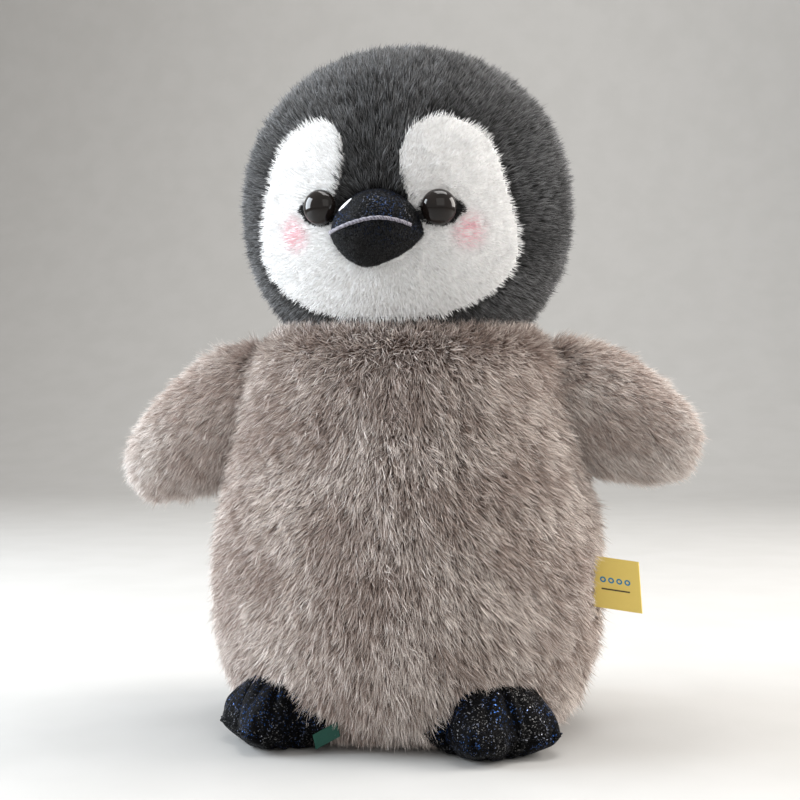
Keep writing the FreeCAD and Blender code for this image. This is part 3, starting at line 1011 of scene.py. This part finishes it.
def beak_form(turn, climb, grow_by=0.0):
    """x = a sin(turn) cos(climb)^p, forward = b cos(turn) cos(climb)^p, up = c sin(climb)^p."""
    upper = climb >= 0
    power = np.where(upper, 2 / 1.95, 2 / 1.5)
    ring = np.abs(np.cos(climb)) ** power
    rise = np.sign(climb) * np.abs(np.sin(climb)) ** power
    height = np.where(upper, beak_half[2], chin_depth) + grow_by
    arch = np.maximum(np.cos(1.15 * (turn - 0.25)), 0) ** 2 * np.cos(climb) ** 2 * 4.4 * MM
    aside = np.where(upper, 0, -4.5 * MM) * np.sin(climb) ** 2
    dent = 1 + 0.012 * np.sin(5 * turn + 3 * climb) + 0.01 * np.sin(9 * turn - 7 * climb)
    x = (beak_half[0] + grow_by) * np.sin(turn) * ring * dent
    y = -(beak_half[1] + grow_by) * np.cos(turn) * ring * dent
    return from_head(beak_centre + np.stack([x + aside, y, rise * height + arch], -1))


def beak_panel(name, low, high, paint):
    """A panel of the beak, for climbs from low to high degrees, with the cloth's thickness."""
    turn, climb = np.meshgrid(np.radians(np.linspace(-100, 100, 121)),
                              np.radians(np.linspace(low, high, 49)))
    panel = sheet_object(name, beak_form(turn, climb))
    wear(panel, paint)
    shell = panel.modifiers.new("thickness", "SOLIDIFY")
    shell.thickness = 0.7 * MM
    return panel


def tube(name, path, radius, around=14, ply=3, twist=1.3 * MM):
    """A cord along a path. Its section is a circle with a bump for each ply, turning as the
    cord runs, so the plies wind round each other. The ends close to a point."""
    path = np.array(path)
    ahead = unit(np.gradient(path, axis=0))
    side = unit(np.cross(ahead, np.array([0.1, 0.2, 1.0])))
    other = np.cross(ahead, side)
    run = np.concatenate([[0], np.cumsum(np.linalg.norm(np.diff(path, axis=0), axis=1))])
    angle = np.arange(around) / around * 2 * np.pi
    bumps = 1 + 0.13 * np.cos(ply * angle[None] - 2 * np.pi * (run / twist / ply)[:, None])
    thick = np.full(len(path), radius)
    thick[[1, -2]] = radius * 0.7
    thick[[0, -1]] = radius * 0.05
    ring = side[:, None] * np.cos(angle)[:, None] + other[:, None] * np.sin(angle)[:, None]
    points = path[:, None] + ring * (thick[:, None] * bumps)[..., None]
    return sheet_object(name, points[:, ::-1], closed=True)


beak_upper = beak_panel("beak_upper_cloth", 0, 89.5, beak_glitter)
beak_lower = beak_panel("beak_lower_cloth", -89.5, 0, chin_glitter)
turn = np.radians(np.linspace(-100, 57, 260))
hook = -np.radians(16) * np.clip((-np.degrees(turn) - 74) / 26, 0, 1) ** 1.2
mouth_cord = tube("mouth_cord_twist", beak_form(turn, hook, 0.35 * MM), 0.85 * MM)
wear(mouth_cord, cord_paint)


def chin_form(u, v):
    """The lower panel: u runs from corner to corner, v from the chin's point to the mouth."""
    turn = np.radians(190 * np.asarray(u) - 95)
    climb = np.radians(86 * np.asarray(v) - 88)
    return beak_form(turn, climb, 0.05 * MM)


def beak_filling_form(u, v):
    """The whole beak, a little smaller than its cloth."""
    climb = np.pi * (np.asarray(v) - 0.5)
    return beak_form(2 * np.pi * np.asarray(u), climb, -1.4 * MM)


beak_inside = from_head(beak_centre)
beak_filling = make_skin("beak_filling", beak_filling_form, 48, 32, fibrefill)
points, normals = sow(chin_form, 9000, beak_inside, rng, 100)
down = tangent(np.broadcast_to([0, -0.3, -1.0], points.shape), normals)
chin_hair = grow("beak_lower_pile", points, normals, down, 1.1 * MM, 0.22 * MM, rng, lean=1.6,
                 scatter=0.3, tuft=0.2, tuft_size=3 * MM, droop=0.3, seed=9)
wear(chin_hair, black_pile)
print("beak", np.round(beak_upper.dimensions, 4), np.round(beak_lower.dimensions, 4))

# %% [markdown]
# ## Feet
#
# A foot is two panels of glitter cloth cut with three toes, sewn round their edge and
# stuffed. The folds of a stuffed pouch are hard to draw by hand, so Blender's cloth
# simulation makes them: a flat pouch is blown up by an inner pressure, and its edge gathers
# by itself. It runs at a size of about one unit, where cloth behaves well, and the result is
# scaled to the foot. The cloth is then taken off, so only the final mesh stays.

# %% The stuffed pouch
pouch_around, pouch_rings, pouch_frames = 108, 24, 32
toes = ((0.0, 0.17, 0.42), (1.35, 0.2, 0.4), (-1.35, 0.2, 0.4))


def pouch_parts():
    """Corners of the faces of the upper and the lower panel. The points are: the top's middle,
    the top's rings from the middle to the edge, the bottom's rings without the edge, and the
    bottom's middle."""
    first = np.arange(pouch_around)
    after = (first + 1) % pouch_around
    low_start = 1 + pouch_rings * pouch_around
    low_middle = low_start + (pouch_rings - 1) * pouch_around
    upper = grid_faces(pouch_rings, pouch_around, True)[:, ::-1] + 1
    lower = grid_faces(pouch_rings - 1, pouch_around, True) + low_start
    edge = 1 + (pouch_rings - 1) * pouch_around
    last = low_start + (pouch_rings - 2) * pouch_around
    join = np.stack([last + first, last + after, edge + after, edge + first], -1)
    top_fan = np.stack([np.zeros(pouch_around, int), 1 + after, 1 + first], -1)
    low_hub = np.full(pouch_around, low_middle)
    low_fan = np.stack([low_hub, low_start + first, low_start + after], -1)
    return (upper, top_fan), (np.concatenate([lower, join]), low_fan)


def face_lists(quads, fan):
    """Quads, then triangles, as one run of corners and the size of each face."""
    corners = np.concatenate([quads.ravel(), fan.ravel()])
    return corners, np.concatenate([np.full(len(quads), 4), np.full(len(fan), 3)])


def stuffed_pouch(seed):
    """The points of a stuffed three-toed pouch, about two units across."""
    angle = np.arange(pouch_around) / pouch_around * 2 * np.pi
    edge = np.ones(pouch_around)
    for middle_angle, longer, wide in toes:
        off = (angle - middle_angle + np.pi) % (2 * np.pi) - np.pi
        edge += longer * np.exp(-(off / wide) ** 2)
    share = np.linspace(0, 1, pouch_rings + 1)[1:, None]
    x = np.sin(angle) * edge * share
    y = -np.cos(angle) * edge * share
    height = 0.05 * (1 - share ** 2) + 0 * x
    top = np.stack([x, y, height], -1)
    low = np.stack([x, y, -height], -1)[:-1]
    points = np.concatenate([[[0, 0, 0.05]], top.reshape(-1, 3), low.reshape(-1, 3),
                             [[0, 0, -0.05]]])
    points += np.random.default_rng(seed).normal(size=points.shape) * 0.003
    (upper, top_fan), (lower, low_fan) = pouch_parts()
    corners, sizes = face_lists(np.concatenate([upper, lower]), np.concatenate([top_fan, low_fan]))
    pouch = mesh_object("pouch", points, corners, sizes)
    cloth = pouch.modifiers.new("stuffing", "CLOTH")
    settings = cloth.settings
    settings.quality = 6
    settings.mass = 0.3
    settings.tension_stiffness = 25
    settings.compression_stiffness = 5
    settings.shear_stiffness = 8
    settings.bending_stiffness = 0.15
    settings.air_damping = 3
    settings.use_pressure = True
    settings.uniform_pressure_force = 6
    settings.effector_weights.gravity = 0
    cloth.collision_settings.use_collision = False
    cloth.point_cache.frame_start = 1
    cloth.point_cache.frame_end = pouch_frames
    for step in range(1, pouch_frames + 1):
        bpy.context.scene.frame_set(step)
    blown = pouch.evaluated_get(bpy.context.evaluated_depsgraph_get())
    result = np.empty(len(points) * 3, np.float32)
    blown.data.vertices.foreach_get("co", result)
    bpy.data.objects.remove(pouch)
    bpy.context.scene.frame_set(1)
    return result.reshape(-1, 3)


# %% Feet
foot_shape = {"left": {"middle": (45.5, -56), "half": (35, 35), "turn": -4, "seed": 1,
                       "creases": ((-0.62, 0.2, 0.07), (0.2, 0.13, 0.05), (0.66, 0.24, 0.08),
                                   (1.0, 0.16, 0.05), (-1.1, 0.12, 0.05))},
              "right": {"middle": (-54, -50), "half": (32.5, 33), "turn": -16, "seed": 5,
                        "creases": ((-0.66, 0.22, 0.07), (-0.15, 0.16, 0.06), (0.35, 0.2, 0.07),
                                    (0.75, 0.26, 0.08), (-1.15, 0.16, 0.06))}}
seam_height, foot_top = 9.5 * MM, 34 * MM
feet = {}
for side, shape in foot_shape.items():
    pouch = stuffed_pouch(shape["seed"])
    pouch[:, :2] -= (pouch[:, :2].max(0) + pouch[:, :2].min(0)) / 2
    pouch[:, :2] /= np.abs(pouch[:, :2]).max(0)
    pouch[:, 2] /= np.abs(pouch[:, 2]).max()
    away = np.hypot(pouch[:, 0], pouch[:, 1])
    bearing = np.arctan2(pouch[:, 0], -pouch[:, 1])
    pinch = sum(deep * np.exp(-((bearing - at + 0.12 * away) / wide) ** 2)
                for at, deep, wide in shape["creases"]) * np.exp(-((away - 0.75) / 0.35) ** 2)
    pouch[:, 2] *= 1 - pinch
    pouch[:, :2] *= (1 - 0.22 * pinch * (away > 0.4))[:, None]
    turn = np.radians(shape["turn"])
    spin = np.array([[np.cos(turn), -np.sin(turn)], [np.sin(turn), np.cos(turn)]])
    flat = (pouch[:, :2] * np.array(shape["half"])) @ spin.T + shape["middle"]
    up = np.where(pouch[:, 2] > 0, (foot_top - seam_height) * pouch[:, 2],
                  (seam_height + 2.5 * MM) * pouch[:, 2]) + seam_height
    up = np.where(up < 1 * MM, 0.4 * MM + 0.05 * (up - 1 * MM), up)
    points = np.column_stack([flat * MM, np.maximum(up, 0.3 * MM)])
    pieces = []
    for part, (quads, fan) in zip(("upper", "sole"), pouch_parts()):
        corners, sizes = face_lists(quads, fan)
        used, compact = np.unique(corners, return_inverse=True)
        piece = mesh_object("foot_%s_%s_cloth" % (side, part), points[used], compact, sizes)
        wear(piece, foot_glitter)
        smooth = piece.modifiers.new("smooth", "SUBSURF")
        smooth.levels = smooth.render_levels = 1
        pieces.append(piece)
    core = points.mean(0)
    corners, sizes = face_lists(*(np.concatenate(pair) for pair in zip(*pouch_parts())))
    filling = mesh_object("foot_%s_filling" % side, core + (points - core) * 0.93, corners, sizes)
    wear(filling, fibrefill)
    edge = points[1 + (pouch_rings - 1) * pouch_around:1 + pouch_rings * pouch_around]
    ring = np.concatenate([edge, edge[:1]])
    seam = tube("foot_%s_seam" % side, smooth_line(ring, 420), 0.5 * MM, 8, 2, 2.2 * MM)
    wear(seam, foot_glitter)
    feet[side] = (*pieces, filling, seam)
    print("foot", side, "spans", np.round(np.ptp(points, axis=0) / MM, 1), "mm")

# %% [markdown]
# ## Label and ribbon
#
# Both are folded strips of satin. A strip's path is drawn once, seen from above, and the
# strip rises from it: out along one leaf, round the fold, and back along the other.


# %% Folded strips
def strip(name, path, rise, rows=24):
    """A band of cloth: each point of the path is raised from 0 to 1 times the rise vector.
    The map named cloth runs along the path and up the rise."""
    path = np.array(path)
    up = np.linspace(0, 1, rows)
    points = path[None] + up[:, None, None] * np.broadcast_to(rise, path.shape)[None]
    piece = sheet_object(name, points)
    run = np.concatenate([[0], np.cumsum(np.linalg.norm(np.diff(path, axis=0), axis=1))])
    u, v = np.meshgrid(run / run[-1], up)
    pairs = np.stack([u, v], -1).reshape(-1, 2)
    corners = np.empty(len(piece.data.loops), np.int32)
    piece.data.loops.foreach_get("vertex_index", corners)
    cloth = piece.data.uv_layers.new(name="cloth")
    cloth.data.foreach_set("uv", pairs[corners].ravel().astype(np.float32))
    return piece


def fold_path(length, gap, curl, count=60):
    """Out along one leaf and back along the other, with a round fold: distance and offset."""
    out = np.linspace(0, length, count)
    bend = np.radians(np.linspace(-90, 90, 14))[1:-1]
    leaf = gap * np.sqrt(np.clip(out / length, 0, 1)) / 2
    along_path = np.concatenate([out, length + gap / 2 * np.cos(bend), out[::-1]])
    off = np.concatenate([-leaf, gap / 2 * np.sin(bend), leaf[::-1]])
    return along_path, off + curl * (along_path / length) ** 2


tilt = np.radians(8)
label_long, label_tall = 28.5 * MM, 26 * MM
out, off = fold_path(label_long, 1.1 * MM, 1.5 * MM)
label_start = label_root + np.array([-7, -10, 0]) * MM
label_start[2] += -label_tall / 2 + 1.0 * MM
path = label_start + np.column_stack([out * np.cos(tilt), off, -out * np.sin(tilt)])
lean_up = np.array([-0.07, 0, 1]) * label_tall
label = strip("label_cloth", path, lean_up, 30)
wear(label, label_satin)
foot_low = np.array([-34, -73, 2.2]) * MM
out, off = fold_path(12.5 * MM, 1.0 * MM, 0)
slope = np.radians(27)
run_dir = np.array([np.cos(slope) * 0.97, 0.25 * np.cos(slope), np.sin(slope)])
path = foot_low + out[:, None] * run_dir + off[:, None] * np.array([0.2, -1, 0])
ribbon = strip("ribbon_cloth", path, np.array([-1.6, 0.5, 6.6]) * MM, 14)
wear(ribbon, ribbon_satin)
print("label", np.round(label.dimensions, 4), "ribbon", np.round(ribbon.dimensions, 4))

# %% [markdown]
# ## What each piece belongs to
#
# Every piece rides on the body that carries it, and the CAD solids that it stands for are
# hidden.

# %% Riding and what is replaced
def belongs(piece, body, slot, *nodes, fill=None):
    """The body that a piece rides on and the solids it hides; slot (finish) and fill (fullness) are
    not used.
    """
    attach(piece, body)
    if nodes:
        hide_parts(*nodes)


belongs(body_skin, "torso", "body_plush", "base_panel", fill=0.8)
panels = {"coat_front_middle": ["body_front_panel"], "coat_back_left": ["body_back_left_panel"],
          "coat_back_right": ["body_back_right_panel"]}
for name, coat in coat_pieces.items():
    belongs(coat, "torso", "body_plush", *panels.get(name, []))
belongs(head_skin, "head", "hood_plush", "hood_centre_panel", fill=0.9)
belongs(hood_pieces[0], "head", "hood_plush", "hood_right_panel")
belongs(hood_pieces[1], "head", "hood_plush", "hood_left_panel")
belongs(face_skin, "head", "face_plush")
belongs(face_coat, "head", "face_plush", "face_panel")
belongs(beak_upper, "head", "glitter_cloth", "beak_upper_panel", fill=0.9)
belongs(beak_lower, "head", "glitter_cloth", "beak_lower_panel", fill=0.9)
belongs(chin_hair, "head", "glitter_cloth")
belongs(beak_filling, "head", "fibrefill", "beak_stuffing")
belongs(mouth_cord, "head", "mouth_thread", "mouth_cord")
for side in ("left", "right"):
    arm = "arm_" + side
    skin, filling, coat = flipper_pieces[side]
    belongs(skin, arm, "body_plush", arm + "_front_panel", fill=0.7)
    belongs(filling, arm, "fibrefill", arm + "_stuffing")
    belongs(coat, arm, "body_plush", arm + "_back_panel")
    foot = "foot_" + side
    upper, sole, filling, seam = feet[side]
    belongs(upper, foot, "glitter_cloth", foot + "_upper", fill=0.7)
    belongs(sole, foot, "glitter_cloth", foot + "_sole", fill=0.7)
    belongs(filling, foot, "fibrefill", foot + "_stuffing")
    belongs(seam, foot, "glitter_cloth")
    eye, felt, hair = eyes[side]
    belongs(eye, "head", "eye_plastic", "eye_" + side)
    belongs(felt, "head", "black_felt", "eye_felt_" + side)
    belongs(hair, "head", "black_felt")
belongs(label, "label", "yellow_satin", "side_label")
belongs(ribbon, "foot_right", "green_ribbon", "foot_ribbon")

# %% Materials of the solids that stay
# The fillings, threads, pouch and washers are the CAD's own solids. They get fresh materials.
stay = {
    "body_stuffing": fibrefill, "head_stuffing": fibrefill,
    "pellet_pouch": plain_paint("pouch_cloth", (0.6, 0.55, 0.46), (0.75, 0.7, 0.6), 1.2 * MM),
    "pellets": pellet_paint(),
    "closing_seam_thread": thread_paint("taupe_thread", (0.16, 0.12, 0.1), (0.3, 0.25, 0.22),
                                        2 * MM),
    "neck_seam_thread": thread_paint("dark_thread", (0.01, 0.01, 0.011), (0.05, 0.05, 0.055),
                                     2 * MM),
}
washer = plain_paint("washer_plastic", (0.66, 0.66, 0.64), (0.8, 0.8, 0.78), 4 * MM, 0.4, 0.2)
for side in ("left", "right"):
    stay["arm_%s_seam_thread" % side] = stay["closing_seam_thread"]
    stay["eye_washer_" + side] = washer
for node, paint in stay.items():
    wear(frame["nodes"][node], paint)
